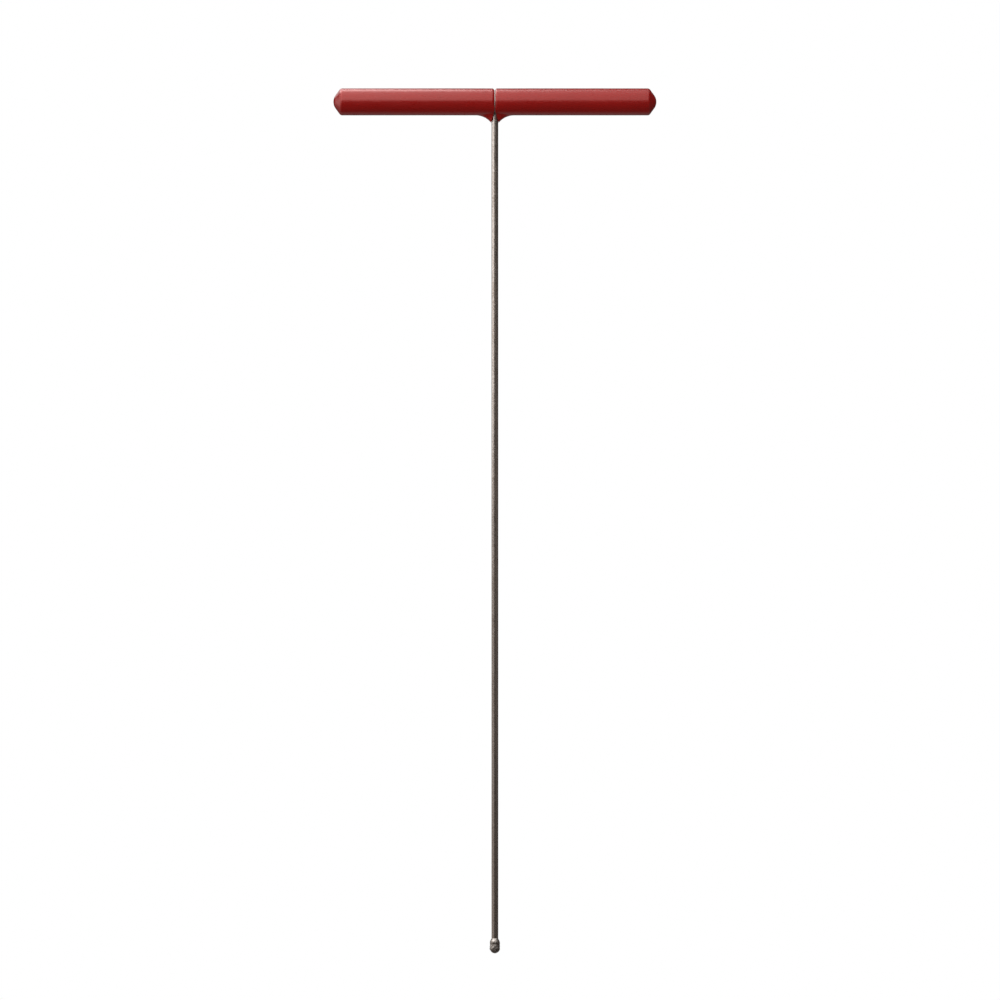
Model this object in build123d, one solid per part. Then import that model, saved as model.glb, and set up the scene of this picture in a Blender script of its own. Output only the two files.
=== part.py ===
"""T-handled probe rod.

A slim steel shaft ends in a ball tip laid on in hard weld metal. Its top goes through a tubular
crossbar and is welded to it below and above. Each half of the crossbar is coated with thick
vinyl, dipped from its own end, so that the two grips meet at an open seam over the shaft. The
coating flares down over the weld, and is parted there by a V that opens towards the tip.

Frame: origin at the crossbar's centre, where the shaft's axis crosses the crossbar's, +X along
the crossbar to the right grip, +Z up the shaft.
Lengths are in millimetres and angles in degrees.
"""

import os
from math import cos, radians, sin, sqrt, tan

from build123d import *

# Overall
OVERALL_HEIGHT = 1219.2  # lowest point of the tip to the top of the grips

# Crossbar tube
TUBE_LENGTH = 431.8
TUBE_OD = 31.75
TUBE_WALL = 2.1

# Shaft
SHAFT_D = 9.525
SHAFT_HOLE_CLEARANCE = 0.1  # radial, where the shaft goes through the tube
SHAFT_TOP_INSET = 1.6  # shaft's upper end below the top of the tube
SHAFT_END_CHAMFER = 0.6

# Welds at the crossbar
FILLET_WELD_DROP = 2.2  # below the tube, along the shaft
FILLET_WELD_REACH = 2.8  # from the shaft's side, along the tube
FILLET_WELD_SIDE = 2.4  # from the shaft's side, across the tube
FILLET_WELD_TOE = 0.25  # radial, the weld's edge on the shaft
PLUG_WELD_D = 13.5  # mouth of the countersunk hole in the tube's upper wall
PLUG_WELD_DEPTH = 2.6

# Plugs that close the tube
PLUG_NOSE_R = 12.8
PLUG_CONE_ANGLE = 54.0  # half angle, from the crossbar's axis
PLUG_SHANK_LENGTH = 16.0
PLUG_SHANK_CHAMFER = 1.0
PLUG_BORE_D = 18.0
PLUG_BORE_DEPTH = 18.0

# Vinyl coating
VINYL_WALL = 3.175
GRIP_END_ROUND = 4.5  # corner between the grip's cylinder and its end's cone
DIP_EDGE_REACH = 30.0  # from the shaft's axis to where the coating starts to thin
DIP_EDGE_THINNING = 0.1  # at the seam
SEAM_GAP = 1.2
SEAM_ROUND = 1.8  # outer corner of the coating at the seam
FLARE_REACH = 27.5  # from the shaft's axis to where the flare leaves the grip's underside
FLARE_DROP = 10.35  # from the grip's underside to the flare's lip
FLARE_SIDE = 9.0  # half width of the flare where it leaves the grip, front and back
FLARE_SECTIONS = 13
LIP_WALL = 0.6  # coating left at the flare's lip
LIP_CLEARANCE = 0.15  # radial, the lip round the shaft
V_TOP_DROP = 13.0  # from the crossbar's axis to where the V starts
V_ANGLE = 16.3  # each side of the V, from the shaft's axis

# Ball tip, laid on in two passes
TIP_D = 14.5
TIP_LENGTH = 21.6
TIP_WAIST_D = 14.0  # where the two passes meet
TIP_WAIST_HEIGHT = 12.7
TIP_COLLAR_WIDEST = 2.0  # from the waist up to where the collar is widest
TIP_NOSE_COVER = 4.5  # weld metal below the shaft's lower end

# Values that follow
tube_r = TUBE_OD / 2
bore_r = tube_r - TUBE_WALL
shaft_r = SHAFT_D / 2
grip_r = tube_r + VINYL_WALL
tip_r = TIP_D / 2
tip_bottom = grip_r - OVERALL_HEIGHT
v_slope = tan(radians(V_ANGLE))
PAST = 5.0  # how far a cut runs past what it cuts


def turned(edges):
    """Solid turned about the Z axis from a closed outline of (radius, height) edges."""
    return revolve(Plane.XZ * make_face(edges), Axis.Z)


def to_end(shape, side):
    """Turns a shape made round the Z axis onto the crossbar's axis, its top to that side."""
    return Rot(0, side * 90, 0) * shape


def upright(radius, low, high):
    """Cylinder on the Z axis between two heights."""
    return Pos(0, 0, (low + high) / 2) * Cylinder(radius, high - low)


def closed(points):
    """Straight edges through the points and back to the first."""
    return Polyline(*points, points[0]).edges()


def dome_points(nose_r, base_r, base_height=None, nose_height=None):
    """(nose, middle of the round, end of the round, cone's base) of a crossbar end."""
    c, s = cos(radians(PLUG_CONE_ANGLE)), sin(radians(PLUG_CONE_ANGLE))
    drop = nose_r * (1 - s) + (base_r - nose_r * c) * c / s
    top = nose_height if base_height is None else base_height + drop
    half = radians((90 + PLUG_CONE_ANGLE) / 2)
    nose = (0, top)
    middle = (nose_r * cos(half), top - nose_r * (1 - sin(half)))
    round_end = (nose_r * c, top - nose_r * (1 - s))
    return nose, middle, round_end, (base_r, top - drop)


plug_dome = dome_points(PLUG_NOSE_R, tube_r, base_height=TUBE_LENGTH / 2)
grip_dome = dome_points(
    PLUG_NOSE_R + VINYL_WALL, grip_r, nose_height=plug_dome[0][1] + VINYL_WALL
)


def capped(dome, foot):
    """Solid of a crossbar end, round the Z axis; foot is its outline from the dome's base on."""
    nose, middle, round_end, base = dome
    arc = ThreePointArc(nose, middle, round_end)
    return turned([arc, *Polyline(round_end, base, *foot, nose).edges()])


# Steel frame


def shaft():
    rod = upright(shaft_r, tip_bottom + TIP_NOSE_COVER, tube_r - SHAFT_TOP_INSET)
    return chamfer(rod.edges().filter_by(GeomType.CIRCLE), SHAFT_END_CHAMFER)


def plug_cone():
    """Countersink in the tube's upper wall, up to a level just above the tube."""
    low_r = shaft_r + SHAFT_HOLE_CLEARANCE
    low, high = tube_r - PLUG_WELD_DEPTH, tube_r
    slope = (PLUG_WELD_D / 2 - low_r) / (high - low)
    top = high + PAST / 2
    top_r = PLUG_WELD_D / 2 + slope * (top - high)
    return turned(closed([(0, low), (low_r, low), (top_r, top), (0, top)]))


def crossbar_tube():
    tube = to_end(Cylinder(tube_r, TUBE_LENGTH) - Cylinder(bore_r, TUBE_LENGTH), 1)
    hole = upright(shaft_r + SHAFT_HOLE_CLEARANCE, -tube_r - PAST, tube_r + PAST)
    return tube - hole - plug_cone()


def fillet_weld():
    """Bead round the shaft, under the tube, that follows the tube's curve."""
    toe_r = shaft_r + FILLET_WELD_TOE
    toe_z = -tube_r - FILLET_WELD_DROP
    side = shaft_r + FILLET_WELD_SIDE
    side_z = -sqrt(tube_r**2 - side**2)
    along = toe_r + (shaft_r + FILLET_WELD_REACH - toe_r) * (side_z - toe_z) / FILLET_WELD_DROP
    bead = loft([at_level(toe_z, toe_r, toe_r), at_level(side_z, along, side)], ruled=True)
    return bead - to_end(Cylinder(tube_r, TUBE_LENGTH), 1) - upright(shaft_r, toe_z - PAST, 0)


def top_weld():
    """Weld metal that fills the countersink over the shaft's upper end."""
    fill = plug_cone() & to_end(Cylinder(tube_r, TUBE_LENGTH), 1)
    return fill - shaft()


def end_plug(side):
    """Domed plug pressed into one end of the tube."""
    shoulder = TUBE_LENGTH / 2
    low = shoulder - PLUG_SHANK_LENGTH
    lead_in = [(bore_r, low + PLUG_SHANK_CHAMFER), (bore_r - PLUG_SHANK_CHAMFER, low)]
    bored_r, bored = PLUG_BORE_D / 2, low + PLUG_BORE_DEPTH
    foot = [(bore_r, shoulder), *lead_in, (bored_r, low), (bored_r, bored), (0, bored)]
    return to_end(capped(plug_dome, foot), side)


# Vinyl coating


def at_level(z, half_x, half_y):
    """Elliptical face square to the shaft's axis."""
    return Plane(origin=(0, 0, z)) * Ellipse(half_x, half_y)


def flare_half_x(z):
    """Half width of the flare along the crossbar: an arc that leaves the grip square."""
    lip = shaft_r + LIP_CLEARANCE + LIP_WALL
    run = FLARE_REACH - lip
    arc_r = (run**2 + FLARE_DROP**2) / (2 * FLARE_DROP)
    below = min(z + grip_r + arc_r, arc_r)
    return FLARE_REACH - sqrt(arc_r**2 - below**2)


def flare_half_y(z):
    """Half width of the flare across the crossbar: an arc that leaves the grip smoothly."""
    lip, lip_z = shaft_r + LIP_CLEARANCE + LIP_WALL, grip_r + FLARE_DROP
    sy = FLARE_SIDE / grip_r
    cz = sqrt(1 - sy**2)
    centre = (lip**2 + lip_z**2 - grip_r**2) / (2 * (sy * lip + cz * lip_z - grip_r))
    arc_r = centre - grip_r
    return sy * centre - sqrt(arc_r**2 - (z + cz * centre) ** 2)


def flare():
    """Coating drawn down from both grips over the weld and the shaft."""
    low = -grip_r - FLARE_DROP
    high = -sqrt(grip_r**2 - FLARE_SIDE**2)
    levels = [low + (high - low) * i / (FLARE_SECTIONS - 1) for i in range(FLARE_SECTIONS)]
    return loft([at_level(z, flare_half_x(z), flare_half_y(z)) for z in levels], ruled=True)


def seam_face(side):
    """Block on one side of the seam and of the V, with which a grip is cut to its half."""
    seam = side * SEAM_GAP / 2
    low = -grip_r - FLARE_DROP - PAST
    foot = seam + side * v_slope * (-V_TOP_DROP - low)
    far = side * TUBE_LENGTH
    top = grip_r + PAST
    outline = [(seam, top), (seam, -V_TOP_DROP), (foot, low), (far, low), (far, top)]
    return extrude(Plane.XZ * make_face(closed(outline)), 2 * grip_r, both=True)


def rim_at(solid, height):
    """The round edge of a turned solid at one height."""
    rims = solid.edges().filter_by(GeomType.CIRCLE)
    return rims.filter_by_position(Axis.Z, height - 0.01, height + 0.01)


def grip(side):
    """Vinyl coating of one half of the crossbar, with its half of the flare."""
    seam = SEAM_GAP / 2
    dip_edge = [(grip_r, DIP_EDGE_REACH), (grip_r - DIP_EDGE_THINNING, seam)]
    sleeve = capped(grip_dome, [*dip_edge, (0, seam)])
    sleeve = fillet(rim_at(sleeve, seam), SEAM_ROUND)
    sleeve = fillet(rim_at(sleeve, grip_dome[-1][1]), GRIP_END_ROUND)
    inside = capped(plug_dome, [(tube_r, -PAST), (0, -PAST)])
    half = (to_end(sleeve, side) + flare()) & seam_face(side)
    shaft_way = upright(shaft_r + LIP_CLEARANCE, -OVERALL_HEIGHT, 0)
    return half - to_end(inside, side) - fillet_weld() - shaft_way


# Ball tip, with heights from its lowest point


def tip_collar():
    """Upper pass: it runs out on the shaft and meets the lower pass at the waist."""
    waist, high = (TIP_WAIST_D / 2, TIP_WAIST_HEIGHT), (shaft_r, TIP_LENGTH)
    widest = (tip_r, TIP_WAIST_HEIGHT + TIP_COLLAR_WIDEST)
    edges = [
        TangentArc(widest, waist, tangent=(0, -1)),
        TangentArc(widest, high, tangent=(0, 1)),
        *Polyline(high, (shaft_r, TIP_WAIST_HEIGHT), waist).edges(),
    ]
    return Pos(0, 0, tip_bottom) * turned(edges)


def tip_nose():
    """Lower pass: it covers the shaft's end and rounds the tip off as a ball."""
    side, waist = (tip_r, tip_r), (TIP_WAIST_D / 2, TIP_WAIST_HEIGHT)
    edges = [
        RadiusArc((0, 0), side, -tip_r),
        TangentArc(side, waist, tangent=(0, 1)),
        *Polyline(waist, (0, TIP_WAIST_HEIGHT), (0, 0)).edges(),
    ]
    return Pos(0, 0, tip_bottom) * turned(edges) - shaft()


def all_nodes():
    return {
        "probe_shaft": shaft(),
        "crossbar_tube": crossbar_tube(),
        "crossbar_fillet_weld": fillet_weld(),
        "crossbar_top_weld": top_weld(),
        "end_plug_left": end_plug(-1),
        "end_plug_right": end_plug(1),
        "grip_left": grip(-1),
        "grip_right": grip(1),
        "tip_collar_bead": tip_collar(),
        "tip_nose_bead": tip_nose(),
    }


os.makedirs("parts", exist_ok=True)
for name, shape in all_nodes().items():
    export_step(shape, f"parts/{name}.step")
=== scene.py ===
"""Looks of the T-handled probe rod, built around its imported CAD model.

Lengths are in metres, in the CAD's frame: origin at the crossbar's centre, +X along the
crossbar to the right grip, +Z up the shaft. The camera looks along +Y.
"""

from math import cos, pi, radians, sin, tan

import bpy
import numpy as np
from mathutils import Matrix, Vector, noise


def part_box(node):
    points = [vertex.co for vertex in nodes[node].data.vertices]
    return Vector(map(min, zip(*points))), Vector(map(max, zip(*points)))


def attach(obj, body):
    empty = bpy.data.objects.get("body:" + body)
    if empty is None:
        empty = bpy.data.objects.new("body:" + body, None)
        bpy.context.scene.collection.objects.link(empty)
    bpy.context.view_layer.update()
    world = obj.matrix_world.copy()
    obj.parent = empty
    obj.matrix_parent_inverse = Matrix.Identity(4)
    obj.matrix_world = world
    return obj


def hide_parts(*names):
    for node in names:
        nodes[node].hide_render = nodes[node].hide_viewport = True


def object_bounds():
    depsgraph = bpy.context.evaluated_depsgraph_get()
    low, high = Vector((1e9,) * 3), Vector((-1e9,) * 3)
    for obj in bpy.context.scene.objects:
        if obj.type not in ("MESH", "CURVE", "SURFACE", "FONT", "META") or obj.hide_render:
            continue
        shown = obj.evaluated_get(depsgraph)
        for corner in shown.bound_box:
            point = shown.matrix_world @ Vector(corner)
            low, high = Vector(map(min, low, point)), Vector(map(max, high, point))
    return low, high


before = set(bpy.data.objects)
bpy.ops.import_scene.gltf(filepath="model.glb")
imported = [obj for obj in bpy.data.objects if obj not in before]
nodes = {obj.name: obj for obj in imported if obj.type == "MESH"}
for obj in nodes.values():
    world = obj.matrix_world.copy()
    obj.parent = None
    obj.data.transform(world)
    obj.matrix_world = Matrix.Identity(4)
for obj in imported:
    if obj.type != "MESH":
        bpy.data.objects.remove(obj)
cad_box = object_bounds()

MM = 0.001

# Sizes read from the frame
grip_low, grip_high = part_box("grip_right")
tube_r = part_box("crossbar_tube")[1].z
shaft_low, shaft_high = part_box("probe_shaft")
weld_low, weld_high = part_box("crossbar_fillet_weld")
nose_low, nose_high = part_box("tip_nose_bead")
collar_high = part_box("tip_collar_bead")[1]

grip_r, nose_x, seam_x, lip_z = grip_high.z, grip_high.x, grip_low.x, grip_low.z
shaft_r = shaft_high.x
tip_bottom, tip_waist, tip_top, tip_r = nose_low.z, nose_high.z, collar_high.z, nose_high.x

# Grips. Where left and right differ, -1 is the left one and 1 the right one
CONE_ANGLE = radians(54)  # of the end's flank, from the crossbar's axis
NOSE_R = 15.975 * MM
END_ROUND = 4.5 * MM  # between the end's flank and the grip's cylinder
INNER_ROUND = 0.3 * MM  # the same corner inside, where the vinyl meets the plug
DIP_EDGE_REACH = 30 * MM  # from the shaft's axis to where the coating starts to thin
DIP_EDGE_THINNING = 0.1 * MM
SEAM_ROUND = {-1: 2.6 * MM, 1: 2.2 * MM}  # of the seam's outer edge, along the grip
SEAM_DEPTH = 2.5 * MM  # the same, into the grip
SEAM_FULLNESS = {-1: 0.3, 1: 0.8}  # 0 for a flat bevel, 1 for a round edge
LIP_ROUND = 0.3 * MM
LIP_TURN = radians(72)  # from straight down, where the lip's edge becomes the seam's
LIP_FADE = radians(26)
FLARE_REACH = 27.5 * MM  # from the shaft's axis, along the grip
FLARE_SIDE = 9 * MM  # from the shaft's axis, across the grip
FLARE_TURN = radians(45)  # round the crossbar, on each side of straight down
LIP_R = 5.5 * MM
LIP_GAP = 0.15 * MM
V_TOP = -13 * MM
V_SLOPE = tan(radians(16.3))
WELD_ROOM = 1.45  # space for the fillet weld along the grip, as a share of its reach
WALL_BLEND = 0.3 * MM  # softens the change from V to shaft or weld
WALL_MIN = 0.2 * MM  # of the wall at the seam, under its rounded edge
WAVINESS = 0.09 * MM
FLARE_HALVINGS = 40  # steps of the search for the flare's depth
EDGE_HALVINGS = 36  # steps of the search for the seam's outer edge
PROBE = 0.1 * MM  # step for measuring a slope

# Tip, shaft and weld
TIP_AROUND = 168
TIP_NECK = 6.85 * MM  # radius of the lower pass where the upper one covers it
LUMP_SINK = 0.28 * MM  # keeps the lumps inside the tip's size
COLLAR_CROWN = 0.25  # widest place of the upper pass, as a share of its height
COLLAR_OVERLAP = 0.25 * MM  # hidden, of the upper pass into the shaft
SHAFT_AROUND = 48
SHAFT_RING = 2 * MM
SHAFT_UNEVEN = 0.035 * MM
SHAFT_CHAMFER = 0.6 * MM
WELD_AROUND = 144
WELD_ROWS = 30
WELD_OVERLAP = 0.2 * MM  # hidden, of the weld into the shaft


# Mesh building


def piece(name, rings, material, replaced, wrap=False):
    """Closed mesh from rings of points, array (ring, place, xyz), that rides on the root body.

    With wrap the last ring joins the first. Without it the end rings are single points.
    """
    count, around = rings.shape[:2]
    if wrap:
        verts = rings.reshape(-1, 3)
        index = np.arange(count * around).reshape(count, around)
        index = np.vstack([index, index[:1]])
    else:
        verts = np.vstack([rings[0, :1], rings[1:-1].reshape(-1, 3), rings[-1, :1]])
        index = 1 + np.arange((count - 2) * around).reshape(count - 2, around)
    step = np.roll(index, -1, axis=1)
    quads = np.stack([index[:-1], step[:-1], step[1:], index[1:]], axis=-1)
    faces = quads.reshape(-1, 4).tolist()
    if not wrap:
        last = len(verts) - 1
        faces += [(0, int(b), int(a)) for a, b in zip(index[0], step[0])]
        faces += [(last, int(a), int(b)) for a, b in zip(index[-1], step[-1])]
    mesh = bpy.data.meshes.new(name)
    mesh.from_pydata(verts.tolist(), [], faces)
    if volume(verts, faces) < 0:
        mesh.flip_normals()
    mesh.update()
    mesh.shade_smooth()
    mesh.set_sharp_from_angle(angle=radians(45))
    mesh.materials.append(material)
    made = bpy.data.objects.new(name, mesh)
    bpy.context.scene.collection.objects.link(made)
    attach(made, "root")
    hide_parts(replaced)


def volume(verts, faces):
    """Signed volume inside a closed mesh."""
    total = 0.0
    for size in (3, 4):
        group = np.array([f for f in faces if len(f) == size])
        if len(group):
            p = verts[group]
            for k in range(1, size - 1):
                total += np.einsum("ij,ij", p[:, 0], np.cross(p[:, k], p[:, k + 1])) / 6
    return total


def smooth_max(a, b, blend):
    """The larger of a and b, rounded where they are within blend of each other."""
    h = np.clip(0.5 + 0.5 * (a - b) / blend, 0, 1)
    return b + (a - b) * h + blend * h * (1 - h)


def ripple(points, scale, octaves=3):
    """Fractal noise from about -1 to 1 at each point, with features 1 / scale across."""
    flat = points.reshape(-1, 3) * scale
    values = [noise.fractal(Vector(p), 1.0, 2.0, octaves) for p in flat]
    return np.array(values).reshape(points.shape[:-1])


# Grips: each place round the crossbar has an outline of (x, radius), from the inner nose along
# the tube to the seam, out along the seam's wall, over its rounded edge, and back to the nose.
# Angles round the crossbar are from straight down


def flare_depth(x, angle):
    """How far the flare stands out of the grip's cylinder."""
    drop = -lip_z - grip_r
    run = FLARE_REACH - LIP_R
    arc_r = (run**2 + drop**2) / (2 * drop)
    x, angle = np.broadcast_arrays(x, angle)
    low, high = np.zeros(x.shape), np.full(x.shape, drop * 1.3)
    side = np.where(np.abs(angle) < pi / 2, np.abs(np.sin(angle)), 10)
    for _ in range(FLARE_HALVINGS):
        depth = (low + high) / 2
        part = np.clip(1 - depth / drop, 0, 1)
        half_x = FLARE_REACH - np.sqrt(np.maximum(arc_r**2 - (arc_r - depth) ** 2, 0))
        half_y = FLARE_SIDE - (FLARE_SIDE - LIP_R) * np.sqrt(1 - part**2)
        inside = (x / half_x) ** 2 + ((grip_r + depth) * side / half_y) ** 2 < 1
        low, high = np.where(inside, depth, low), np.where(inside, high, depth)
    return low


def outer_radius(x, angle):
    """The grip's surface, without its domed end."""
    thinning = DIP_EDGE_THINNING * np.clip(1 - x / DIP_EDGE_REACH, 0, 1)
    return grip_r - thinning + flare_depth(x, angle)


def wall_x(radius, angle):
    """Where the coating starts, at a radius: the seam, the V, the shaft or the weld."""
    y, z = radius * np.sin(angle), -radius * np.cos(angle)
    cut = seam_x + V_SLOPE * np.maximum(V_TOP - z, 0)
    shaft = np.sqrt(np.maximum((shaft_r + LIP_GAP) ** 2 - y**2, 0))
    shaft = np.where(z < 0, shaft, 0)
    toe = weld_low.z
    up = np.clip((z - toe) / (weld_high.z - toe), 0, 1.3)
    half_x = shaft_r + (weld_high.x - shaft_r) * WELD_ROOM * up
    half_y = shaft_r + (weld_high.y - shaft_r) * up
    weld = half_x * np.sqrt(np.maximum(1 - (y / half_y) ** 2, 0))
    weld = np.where((z > toe) & (z < 0), weld, 0)
    return smooth_max(cut, np.maximum(shaft, weld), WALL_BLEND)


def edge_radius(angle):
    """Radius at which the seam's wall meets the grip's outer surface."""
    low, high = np.full(angle.shape, tube_r), np.full(angle.shape, 2 * grip_r)
    for _ in range(EDGE_HALVINGS):
        middle = (low + high) / 2
        inside = middle < outer_radius(wall_x(middle, angle), angle)
        low, high = np.where(inside, middle, low), np.where(inside, high, middle)
    return low


def dome(end_x, base_r, nose_r, round_r, steps):
    """Outline of a domed end as (x, radius), from its cylinder to its nose at end_x."""
    c, s = cos(CONE_ANGLE), sin(CONE_ANGLE)
    base_x = end_x - nose_r * (1 - s) - (base_r - nose_r * c) * c / s
    trim = round_r * tan(CONE_ANGLE / 2)
    turn = np.linspace(0, CONE_ANGLE, steps)
    corner_x = base_x - trim + round_r * np.sin(turn)
    corner_r = base_r - round_r + round_r * np.cos(turn)
    swing = np.linspace(CONE_ANGLE, pi / 2, steps)
    nose_xs = end_x - nose_r + nose_r * np.sin(swing)
    nose_rs = nose_r * np.cos(swing)
    flank = np.linspace(0, 1, steps)[1:-1]
    flank_x = corner_x[-1] + (nose_xs[0] - corner_x[-1]) * flank
    flank_r = corner_r[-1] + (nose_rs[0] - corner_r[-1]) * flank
    outline_x = np.concatenate([corner_x, flank_x, nose_xs])
    return outline_x, np.concatenate([corner_r, flank_r, nose_rs])


def around_crossbar():
    """Angles round the crossbar from straight down, closer together where the flare is."""
    near = np.linspace(-FLARE_TURN, FLARE_TURN, 121)
    far = np.linspace(FLARE_TURN, 2 * pi - FLARE_TURN, 112)[1:-1]
    return np.concatenate([near, far])


def grip(name, side, material):
    """Vinyl coating of one half of the crossbar; side is 1 for the right one."""
    angle = around_crossbar()[None, :]
    signed = np.arctan2(np.sin(angle), np.cos(angle))
    edge_r = edge_radius(signed)
    edge_x = wall_x(edge_r, signed)
    at_lip = np.clip((LIP_TURN - np.abs(signed)) / LIP_FADE, 0, 1)
    at_lip = at_lip**2 * (3 - 2 * at_lip)
    rounding = SEAM_ROUND[side] + (LIP_ROUND - SEAM_ROUND[side]) * at_lip
    edge_depth = SEAM_DEPTH + (LIP_ROUND - SEAM_DEPTH) * at_lip
    fullness = SEAM_FULLNESS[side] + (1 - SEAM_FULLNESS[side]) * at_lip

    wall = grip_r - tube_r
    inner_x, inner_r = dome(nose_x - wall, tube_r, NOSE_R - wall, INNER_ROUND, 8)
    inner_x, inner_r = inner_x[::-1, None], inner_r[::-1, None]
    back = np.linspace(0, 1, 14)[1:, None]
    back_x = inner_x[-1] + (wall_x(tube_r, signed) - inner_x[-1]) * back

    wall_top = np.maximum(edge_r - edge_depth, tube_r + WALL_MIN)
    wall_r = tube_r + (wall_top - tube_r) * np.linspace(0, 1, 14)[1:, None]

    slope = (outer_radius(edge_x + PROBE, signed) - outer_radius(edge_x, signed)) / PROBE
    start_x = edge_x + rounding / np.sqrt(1 + slope**2)
    t = np.linspace(0, 1, 11)[1:-1, None]
    wall_end = wall_x(wall_top, signed), wall_top
    skin_start = start_x, outer_radius(start_x, signed)
    bend_x, bend_r = (
        (1 - t) ** 2 * start + 2 * t * (1 - t) * middle + t**2 * end
        for start, middle, end in (
            (a, (a + c) / 2 + (b - (a + c) / 2) * fullness, c)
            for a, b, c in zip(wall_end, (edge_x, edge_r), skin_start)
        )
    )

    near = start_x + (1.1 * FLARE_REACH - start_x) * np.linspace(0, 1, 76)[:, None]
    dome_x, dome_r = (v[:, None] for v in dome(nose_x, grip_r, NOSE_R, END_ROUND, 14))
    far = near[-1] + (dome_x[0] - near[-1]) * np.linspace(0, 1, 46)[1:-1, None]
    flat = np.ones_like(angle)
    outline_x = np.vstack(
        [inner_x * flat, back_x, wall_x(wall_r, signed), bend_x, near, far, dome_x * flat]
    )
    outline_r = np.vstack(
        [
            inner_r * flat,
            tube_r * flat * np.ones_like(back),
            wall_r,
            bend_r,
            outer_radius(near, signed),
            outer_radius(far, signed),
            dome_r * flat,
        ]
    )
    rings = np.stack(
        [side * outline_x, outline_r * np.sin(angle), -outline_r * np.cos(angle)], axis=-1
    )
    skin = np.arange(len(outline_x)) >= len(inner_x) + len(back) + len(wall_r)
    dip = WAVINESS * (1 - np.clip(ripple(rings, 38, 2), -1, 1)) / 2
    rings[..., 1:] *= (1 - skin[:, None] * dip / np.maximum(outline_r, tube_r / 2))[..., None]
    piece(name + "_vinyl", rings, material, name)


# Ball tip, in rings round the shaft's axis

# Lumps of weld metal: turn from the front to the left, height over the lowest point, width,
# and how far each stands out
LUMPS = [
    (38, 16.4, 2.9, 0.55),
    (-52, 16.2, 2.6, 0.35),
    (130, 16.8, 3.0, 0.45),
    (-140, 15.9, 3.2, 0.40),
    (66, 9.2, 1.7, 0.65),
    (18, 8.6, 1.5, 0.50),
    (-30, 7.0, 1.9, 0.45),
    (-72, 10.1, 1.8, 0.40),
    (-64, 5.2, 1.8, 0.45),
    (40, 4.6, 1.7, 0.40),
    (0, 3.2, 1.6, 0.30),
    (100, 6.2, 2.0, 0.45),
    (150, 9.8, 2.0, 0.55),
    (-170, 5.4, 2.1, 0.40),
    (-120, 8.4, 2.0, 0.50),
    (-100, 4.4, 1.7, 0.35),
    (150, 3.9, 1.7, 0.35),
]


def lumps(swing, height):
    """Sum of the listed lumps at points round the tip."""
    out = np.zeros(height.shape)
    for turn, level, width, amount in LUMPS:
        away = np.angle(np.exp(1j * (swing - radians(turn)))) * tip_r
        up = height - level * MM
        out += amount * MM * np.exp(-(away**2 + up**2) / (width * MM) ** 2)
    return out


def tip_rings(swing, radius, height, amount):
    """Rings of points round the shaft's axis, with the weld's lumps where amount is not 0."""
    radius, height = np.broadcast_arrays(radius, height)
    sway = np.broadcast_to(swing, radius.shape)
    x, y = -np.sin(sway), -np.cos(sway)
    points = np.stack([radius * x, radius * y, height], axis=-1)
    rough = 0.30 * MM * ripple(points, 420, 2) + 0.14 * MM * ripple(points + 5, 1100, 3)
    out = (lumps(sway, height) - LUMP_SINK + rough) * amount
    points[..., 0] += out * x
    points[..., 1] += out * y
    points[..., 2] += tip_bottom
    return points


def waist_height(swing):
    """The passes meet on a line that wanders and dips to the right of the front."""
    level = tip_waist - tip_bottom
    return level + MM * (0.9 * np.sin(swing + 0.35) + 0.35 * np.sin(3 * swing + 1.0))


def nose_bead(material):
    """Lower pass: a ball end and a side that narrows under the upper pass."""
    swing = np.linspace(-pi, pi, TIP_AROUND, endpoint=False)[None, :]
    turn = np.linspace(0, pi / 2, 46)[:, None]
    ball_r, ball_z = tip_r * np.sin(turn), tip_r * (1 - np.cos(turn))
    rise = np.linspace(0, 1, 34)[1:, None]
    side_z = tip_r + (waist_height(swing) - tip_r) * rise
    side_r = tip_r - (tip_r - TIP_NECK) * rise**3
    shut = np.linspace(1, 0, 8)[1:, None]
    flat = np.ones_like(swing)
    radius = np.vstack([ball_r * flat, side_r * flat, side_r[-1] * shut * flat])
    height = np.vstack([ball_z * flat, side_z, side_z[-1:] * np.ones_like(shut)])
    fade = np.vstack(
        [np.clip(ball_r / (3 * MM), 0, 1) * flat, np.ones_like(rise) * flat, shut**2 * flat]
    )
    height[-1] = height[-1].mean()
    rings = tip_rings(swing, radius, height, fade)
    piece("tip_nose_weld", rings, material, "tip_nose_bead")


def collar_bead(material):
    """Upper pass: a ring that covers the lower one's edge and runs out on the shaft."""
    swing = np.linspace(-pi, pi, TIP_AROUND, endpoint=False)[None, :]
    low = waist_height(swing)
    toe = 0.7 * np.cos(2 * swing + 0.5) - 1.1 * np.exp(-((swing / 0.5) ** 2))
    toe = tip_top - tip_bottom + toe * MM
    rise = np.linspace(0, 1, 52)[:, None]
    level = low + (toe - low) * rise
    tuck = np.clip(1 - rise / COLLAR_CROWN, 0, 1)
    bulge = 1 - 0.05 * tuck**2
    drop = np.clip((rise - COLLAR_CROWN) / (1 - COLLAR_CROWN), 0, 1)
    radius = shaft_r + (tip_r - shaft_r) * bulge * np.cos(pi / 2 * drop) ** 1.15
    inner_z = toe + (low - toe) * np.linspace(0, 1, 8)[:, None]
    inner_r = (shaft_r - COLLAR_OVERLAP) * np.ones_like(inner_z)
    flat = np.ones_like(swing)
    radius = np.vstack([radius * flat, inner_r * flat])
    height = np.vstack([level, inner_z])
    fade = np.sqrt(np.clip(1 - drop**2, 0, 1)) * 0.6
    fade = np.vstack([fade * flat, np.zeros_like(inner_z)])
    rings = tip_rings(swing, radius, height, fade)
    piece("tip_collar_weld", rings, material, "tip_collar_bead", wrap=True)


# Shaft and its weld to the crossbar


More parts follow.
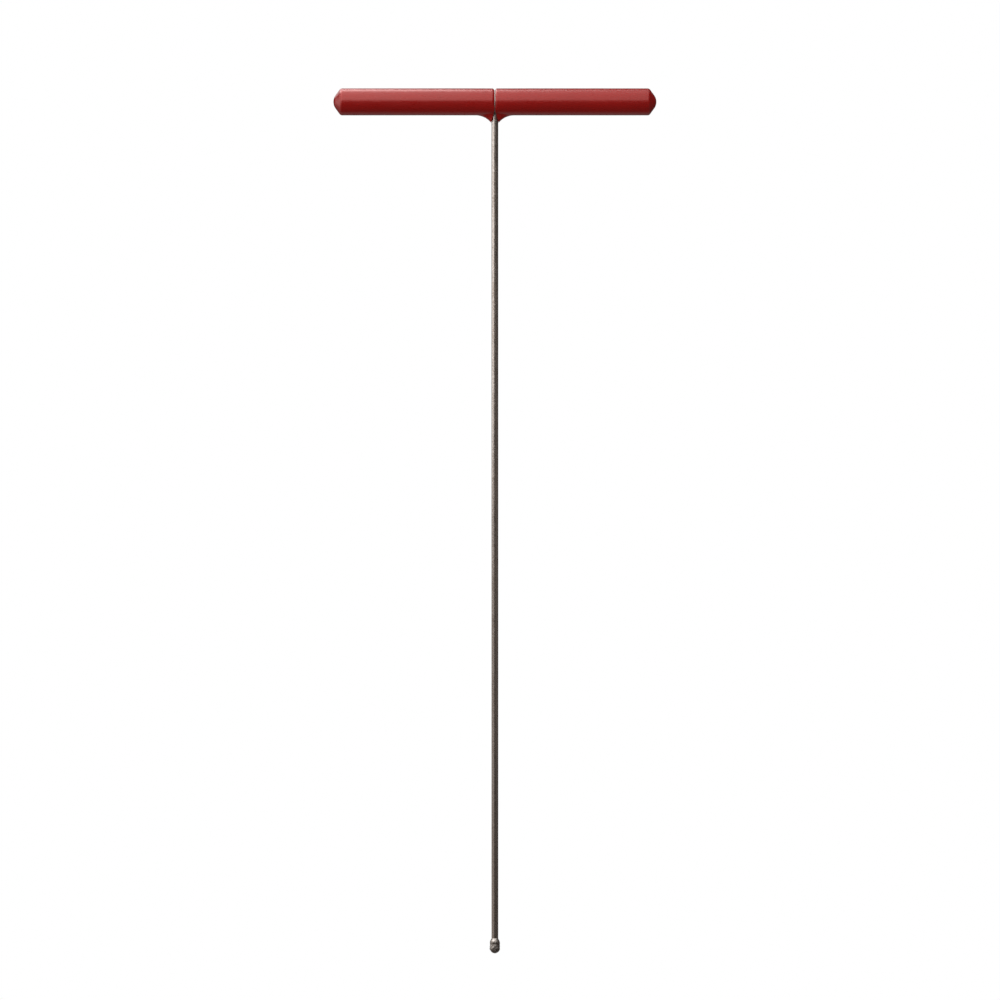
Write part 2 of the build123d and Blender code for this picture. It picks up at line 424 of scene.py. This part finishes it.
def rod(material):
    """The shaft, in rings along its length, not quite even, as rolled stock is."""
    swing = np.linspace(0, 2 * pi, SHAFT_AROUND, endpoint=False)[None, :]
    count = int((shaft_high.z - shaft_low.z) / SHAFT_RING)
    side_z = np.linspace(shaft_low.z, shaft_high.z - SHAFT_CHAMFER, count)
    height = np.concatenate([side_z[:1], side_z[:1], side_z, shaft_high.z * np.ones(3)])[:, None]
    radius = np.ones(count) * (shaft_r - SHAFT_UNEVEN)
    ends = (shaft_r - SHAFT_CHAMFER) * np.array([1, 0.5, 0])
    radius = np.concatenate([[0], [shaft_r / 2], radius, ends])[:, None]
    flat = np.ones_like(swing)
    rings = np.stack([radius * np.cos(swing), radius * np.sin(swing), height * flat], axis=-1)
    bumps = ripple(rings * (1, 1, 0.5), 260, 2) + 0.6 * ripple(rings * (1, 1, 0.1) + 3, 330, 1)
    scale = 1 + SHAFT_UNEVEN * np.clip(bumps, -1, 1) / shaft_r
    rings[..., :2] *= scale[..., None]
    piece("probe_rod", rings, material, "probe_shaft")


def fillet_bead(material):
    """The weld under the crossbar, seen through the V."""
    swing = np.linspace(0, 2 * pi, WELD_AROUND, endpoint=False)[None, :]
    reach_x, reach_y = weld_high.x, weld_high.y
    reach = reach_x * reach_y / np.hypot(reach_y * np.cos(swing), reach_x * np.sin(swing))
    top_z = -np.sqrt(tube_r**2 - (reach * np.sin(swing)) ** 2)
    t = np.linspace(0, 1, WELD_ROWS)[:, None]
    ripples = np.sin(26 * swing + 5 * t) * np.sin(pi * t) ** 0.5
    bulge = (0.35 * np.sin(pi * t) + 0.12 * ripples) * MM
    run, rise = reach - shaft_r, top_z - weld_low.z
    length = np.hypot(run, rise)
    radius = shaft_r + run * t + bulge * rise / length
    height = weld_low.z + rise * t - bulge * run / length
    back = np.linspace(1, 0, 12)[1:, None]
    inner_r = shaft_r - WELD_OVERLAP + (reach - shaft_r + WELD_OVERLAP) * back
    inner_z = -np.sqrt(tube_r**2 - (inner_r * np.sin(swing)) ** 2) + 0.15 * MM
    down = np.linspace(0, 1, 8)[1:, None]
    stem_z = inner_z[-1:] + (weld_low.z - inner_z[-1:]) * down
    radius = np.vstack([radius, inner_r, inner_r[-1:] * np.ones_like(stem_z)])
    height = np.vstack([height, inner_z, stem_z])
    rings = np.stack([radius * np.cos(swing), radius * np.sin(swing), height], axis=-1)
    piece("crossbar_weld_bead", rings, material, "crossbar_fillet_weld", wrap=True)


# Materials


class Shader:
    """A node material with a Principled shader, and short ways to make its nodes."""

    def __init__(self, name, metallic=0.0, ior=1.5):
        self.material = bpy.data.materials.new(name)
        self.material.use_nodes = True
        self.tree = self.material.node_tree
        self.shader = self.tree.nodes["Principled BSDF"]
        self.shader.inputs["Metallic"].default_value = metallic
        self.shader.inputs["IOR"].default_value = ior
        self.place = self.tree.nodes.new("ShaderNodeTexCoord").outputs["Object"]

    def link(self, value, socket):
        if isinstance(value, bpy.types.NodeSocket):
            self.tree.links.new(value, socket)
        else:
            socket.default_value = value

    def stretched(self, x, y, z):
        """The piece's coordinates, scaled along each axis."""
        node = self.tree.nodes.new("ShaderNodeMapping")
        node.inputs["Scale"].default_value = (x, y, z)
        self.link(self.place, node.inputs["Vector"])
        return node.outputs["Vector"]

    def noise(self, scale, detail=3.0, rough=0.5, place=None, warp=0.0):
        node = self.tree.nodes.new("ShaderNodeTexNoise")
        self.link(place or self.place, node.inputs["Vector"])
        node.inputs["Scale"].default_value = scale
        node.inputs["Detail"].default_value = detail
        node.inputs["Roughness"].default_value = rough
        node.inputs["Distortion"].default_value = warp
        return node.outputs["Fac"]

    def cells(self, scale):
        node = self.tree.nodes.new("ShaderNodeTexVoronoi")
        self.link(self.place, node.inputs["Vector"])
        node.inputs["Scale"].default_value = scale
        return node.outputs["Distance"]

    def ramp(self, value, *stops):
        """Maps a value through (place, colour or grey) stops."""
        node = self.tree.nodes.new("ShaderNodeValToRGB")
        self.link(value, node.inputs["Fac"])
        elements = node.color_ramp.elements
        while len(elements) < len(stops):
            elements.new(0.5)
        for element, (place, colour) in zip(elements, stops):
            element.position = place
            colour = (colour,) * 3 if isinstance(colour, (int, float)) else colour
            element.color = (*colour, 1.0)
        return node.outputs["Color"]

    def math(self, operation, first, second):
        node = self.tree.nodes.new("ShaderNodeMath")
        node.operation = operation
        self.link(first, node.inputs[0])
        self.link(second, node.inputs[1])
        return node.outputs[0]

    def bump(self, height, distance, under=None):
        """Relief of this height in metres, over another relief where under is given."""
        node = self.tree.nodes.new("ShaderNodeBump")
        node.inputs["Strength"].default_value = 1.0
        node.inputs["Distance"].default_value = distance
        self.link(height, node.inputs["Height"])
        if under:
            self.link(under, node.inputs["Normal"])
        return node.outputs["Normal"]

    def finish(self, colour, roughness, normal):
        self.link(colour, self.shader.inputs["Base Color"])
        self.link(roughness, self.shader.inputs["Roughness"])
        self.link(normal, self.shader.inputs["Normal"])
        return self.material


def dipped_vinyl():
    """Glossy red plastisol with a faint orange peel and soft streaks."""
    s = Shader("dipped_vinyl", ior=1.72)
    s.shader.inputs["Specular Tint"].default_value = (1.0, 0.52, 0.49, 1)
    tone = s.noise(9, 3, place=s.stretched(1, 2, 2))
    colour = s.ramp(tone, (0.3, (0.29, 0.0040, 0.0030)), (0.7, (0.33, 0.0050, 0.0036)))
    scuff = s.noise(150, 5, 0.65, place=s.stretched(0.25, 1.6, 1.6), warp=0.6)
    roughness = s.ramp(scuff, (0.42, 0.27), (0.60, 0.31), (0.72, 0.40))
    peel = s.bump(s.noise(330, 2), 0.10 * MM)
    fine = s.bump(s.noise(2600, 2), 0.006 * MM, peel)
    return s.finish(colour, roughness, fine)


def shaft_steel():
    """Bright steel under thin brown mill scale, mottled and drawn along its length."""
    s = Shader("shaft_steel")
    cloud = s.noise(30, 4, 0.6, place=s.stretched(1, 1, 0.3))
    speck = s.noise(900, 4, 0.6, place=s.stretched(1, 1, 0.5))
    scale = s.math("ADD", s.math("MULTIPLY", cloud, 0.25), s.math("MULTIPLY", speck, 0.75))
    steel, oxide = (0.51, 0.465, 0.43), (0.27, 0.205, 0.16)
    colour = s.ramp(scale, (0.37, oxide), (0.55, steel))
    metallic = s.ramp(scale, (0.36, 0.6), (0.54, 1.0))
    s.link(metallic, s.shader.inputs["Metallic"])
    wear = s.noise(180, 4, 0.6, place=s.stretched(1, 1, 0.25))
    roughness = s.ramp(wear, (0.3, 0.20), (0.7, 0.30))
    drawn = s.bump(s.noise(1100, 3, 0.6, place=s.stretched(1, 1, 0.03)), 0.02 * MM)
    pits = s.bump(s.noise(420, 3, 0.6, place=s.stretched(1, 1, 0.6)), 0.06 * MM, drawn)
    return s.finish(colour, roughness, pits)


def weld_metal(name, bright, dark):
    """Weld metal in random patches, some bright and glassy, some dark with oxide, and small pits.
    """
    s = Shader(name, metallic=1.0)
    patch = s.noise(330, 4, 0.65, warp=0.4)
    colour = s.ramp(patch, (0.34, dark), (0.50, tuple(v * 0.8 for v in bright)), (0.66, bright))
    roughness = s.ramp(s.noise(700, 4, 0.6), (0.35, 0.36), (0.65, 0.54))
    grain = s.bump(s.noise(1500, 4, 0.6), 0.07 * MM)
    pits = s.bump(s.ramp(s.cells(900), (0.0, 0.0), (0.25, 1.0)), 0.05 * MM, grain)
    return s.finish(colour, roughness, pits)


def mill_steel(name, light, along):
    """Plain hidden steel with the marks of rolling or turning along one axis."""
    s = Shader(name, metallic=0.8)
    lines = s.noise(700, 3, 0.6, place=s.stretched(*along))
    shade = s.noise(45, 4, 0.6)
    dark = tuple(v * 0.62 for v in light)
    colour = s.ramp(shade, (0.3, dark), (0.7, light))
    roughness = s.ramp(lines, (0.3, 0.52), (0.7, 0.68))
    return s.finish(colour, roughness, s.bump(lines, 0.03 * MM))


def dress(node, material):
    """Gives a CAD node its finish."""
    carried = nodes[node].data.materials
    carried.clear()
    carried.append(material)


# Stage


def soft_box(name, turn, lift, distance, size, radiance, across=0.0, up=0.0, colour=(1, 1, 1)):
    """Light panel that faces the object and glows evenly.

    turn is from the front to the left and lift is up, in degrees. Across and up move it along
    its own width and height.
    """
    light = bpy.data.lights.new(name, "AREA")
    light.shape = "RECTANGLE"
    light.size, light.size_y = size
    light.energy = radiance * pi * size[0] * size[1]
    light.color = colour
    lamp = bpy.data.objects.new(name, light)
    bpy.context.scene.collection.objects.link(lamp)
    turn, lift = radians(turn), radians(lift)
    away = Vector((-sin(turn) * cos(lift), -cos(turn) * cos(lift), sin(lift)))
    lamp.rotation_mode = "QUATERNION"
    lamp.rotation_quaternion = (-away).to_track_quat("-Z", "Y")
    lamp.location = away * distance + lamp.rotation_quaternion @ Vector((across, up, 0))
    lamp.visible_camera = False
    return lamp


def studio():
    """White floor that only the camera sees, and soft boxes round the object."""
    white = bpy.data.materials.new("studio_white")
    white.use_nodes = True
    shader = white.node_tree.nodes["Principled BSDF"]
    shader.inputs["Base Color"].default_value = (0, 0, 0, 1)
    shader.inputs["Specular IOR Level"].default_value = 0.0
    shader.inputs["Emission Color"].default_value = (1, 1, 1, 1)
    shader.inputs["Emission Strength"].default_value = 1.0
    corners, reach, level = 96, 9.0, tip_bottom - 0.1 * MM
    turns = np.linspace(0, 2 * pi, corners, endpoint=False)
    rim = [(reach * cos(turn), reach * sin(turn), level) for turn in turns]
    mesh = bpy.data.meshes.new("studio_floor")
    mesh.from_pydata(rim, [], [list(range(corners))])
    mesh.materials.append(white)
    floor = bpy.data.objects.new("studio_floor", mesh)
    bpy.context.scene.collection.objects.link(floor)
    floor.visible_diffuse = floor.visible_glossy = floor.visible_shadow = False
    soft_box("front_top_box", 0, 52.5, 2.2, (3.6, 4.1), 1.15)
    soft_box("back_top_box", 180, 69, 2.2, (3.6, 1.25), 0.8)
    soft_box("left_front_box", 50, 0, 1.9, (1.6, 1.5), 1.50, up=0.31)
    shine = (  # seen in reflections only
        soft_box("front_top_left_box", 0, 52.5, 2.1, (2.1, 3.95), 1.45, across=-1.05),
        soft_box("back_top_left_box", 180, 67, 2.2, (2.2, 1.1), 4.8, across=1.1),
        soft_box("back_left_box", 150, 32, 2.2, (1.5, 1.3), 2.0),
        soft_box("left_top_box", 90, 45, 2.2, (2.4, 1.7), 1.3),
        soft_box("left_box", 90, 0, 1.9, (1.4, 1.5), 1.75, up=0.19),
        soft_box("low_back_box", 180, -55, 2.2, (4.0, 2.0), 0.25),
        soft_box("low_left_box", 80, 0, 1.8, (4.4, 1.5), 0.36, up=-1.31, colour=(1, 0.93, 0.88)),
        soft_box("low_right_box", -65, 0, 2.2, (3.6, 0.8), 0.085, up=-0.72, colour=(1, 0.86, 0.78)),
    )
    for lamp in shine:
        lamp.visible_diffuse = False
    studio_air((0.24, 0.235, 0.23), (0.054, 0.046, 0.041))


def studio_air(seen_by_matt, seen_by_gloss):
    """White to the camera, and a dim even light to surfaces, dimmer still in reflections."""
    world = bpy.data.worlds.new("studio_air")
    bpy.context.scene.world = world
    world.use_nodes = True
    tree = world.node_tree
    ray = tree.nodes.new("ShaderNodeLightPath")
    shade = seen_by_matt
    for kind, colour in (("Is Glossy Ray", seen_by_gloss), ("Is Camera Ray", (1, 1, 1))):
        pick = tree.nodes.new("ShaderNodeMix")
        pick.data_type = "RGBA"
        tree.links.new(ray.outputs[kind], pick.inputs[0])
        if isinstance(shade, bpy.types.NodeSocket):
            tree.links.new(shade, pick.inputs[6])
        else:
            pick.inputs[6].default_value = (*shade, 1)
        pick.inputs[7].default_value = (*colour, 1)
        shade = pick.outputs[2]
    tree.links.new(shade, tree.nodes["Background"].inputs["Color"])


def camera():
    """Level view along +Y through a long lens, its middle a little right of and over the part's."""
    width = 1.4095  # of the picture at the object
    right, over = 7.2 * MM, 29.4 * MM
    lens = bpy.data.cameras.new("camera")
    lens.lens, lens.sensor_width = 300, 36
    holder = bpy.data.objects.new("camera", lens)
    bpy.context.scene.collection.objects.link(holder)
    middle = (cad_box[0].z + cad_box[1].z) / 2
    distance = width / 2 * lens.lens / (lens.sensor_width / 2)
    holder.location = (right, -distance, middle + over)
    holder.rotation_euler = (pi / 2, 0, 0)
    bpy.context.scene.camera = holder


# The model

vinyl = dipped_vinyl()
tip_metal = weld_metal("tip_metal", (0.53, 0.49, 0.455), (0.27, 0.215, 0.175))
# Weld metal of the crossbar's bead, lighter than the tip's: its own colour plus painted light,
# brightened to stand in for the light that the flare shades off the bead in the V.
bead_metal_painted_light = weld_metal("bead_metal_painted_light", (0.70, 0.66, 0.63), (0.32, 0.28, 0.25))
# Steel of the crossbar tube, lighter than the plugs': its own colour plus painted light, brightened
# to stand in for the light that the seam's narrow gap shades off it.
tube_steel = mill_steel("tube_steel", (0.66, 0.60, 0.56), (0.03, 1, 1))
plug_steel = mill_steel("plug_steel", (0.48, 0.46, 0.44), (1, 0.05, 0.05))

grip("grip_left", -1, vinyl)
grip("grip_right", 1, vinyl)
nose_bead(tip_metal)
collar_bead(tip_metal)
fillet_bead(bead_metal_painted_light)
rod(shaft_steel())
dress("crossbar_tube", tube_steel)
dress("crossbar_top_weld", bead_metal_painted_light)
dress("end_plug_left", plug_steel)
dress("end_plug_right", plug_steel)
studio()
camera()
bpy.context.scene.view_settings.view_transform = "Standard"
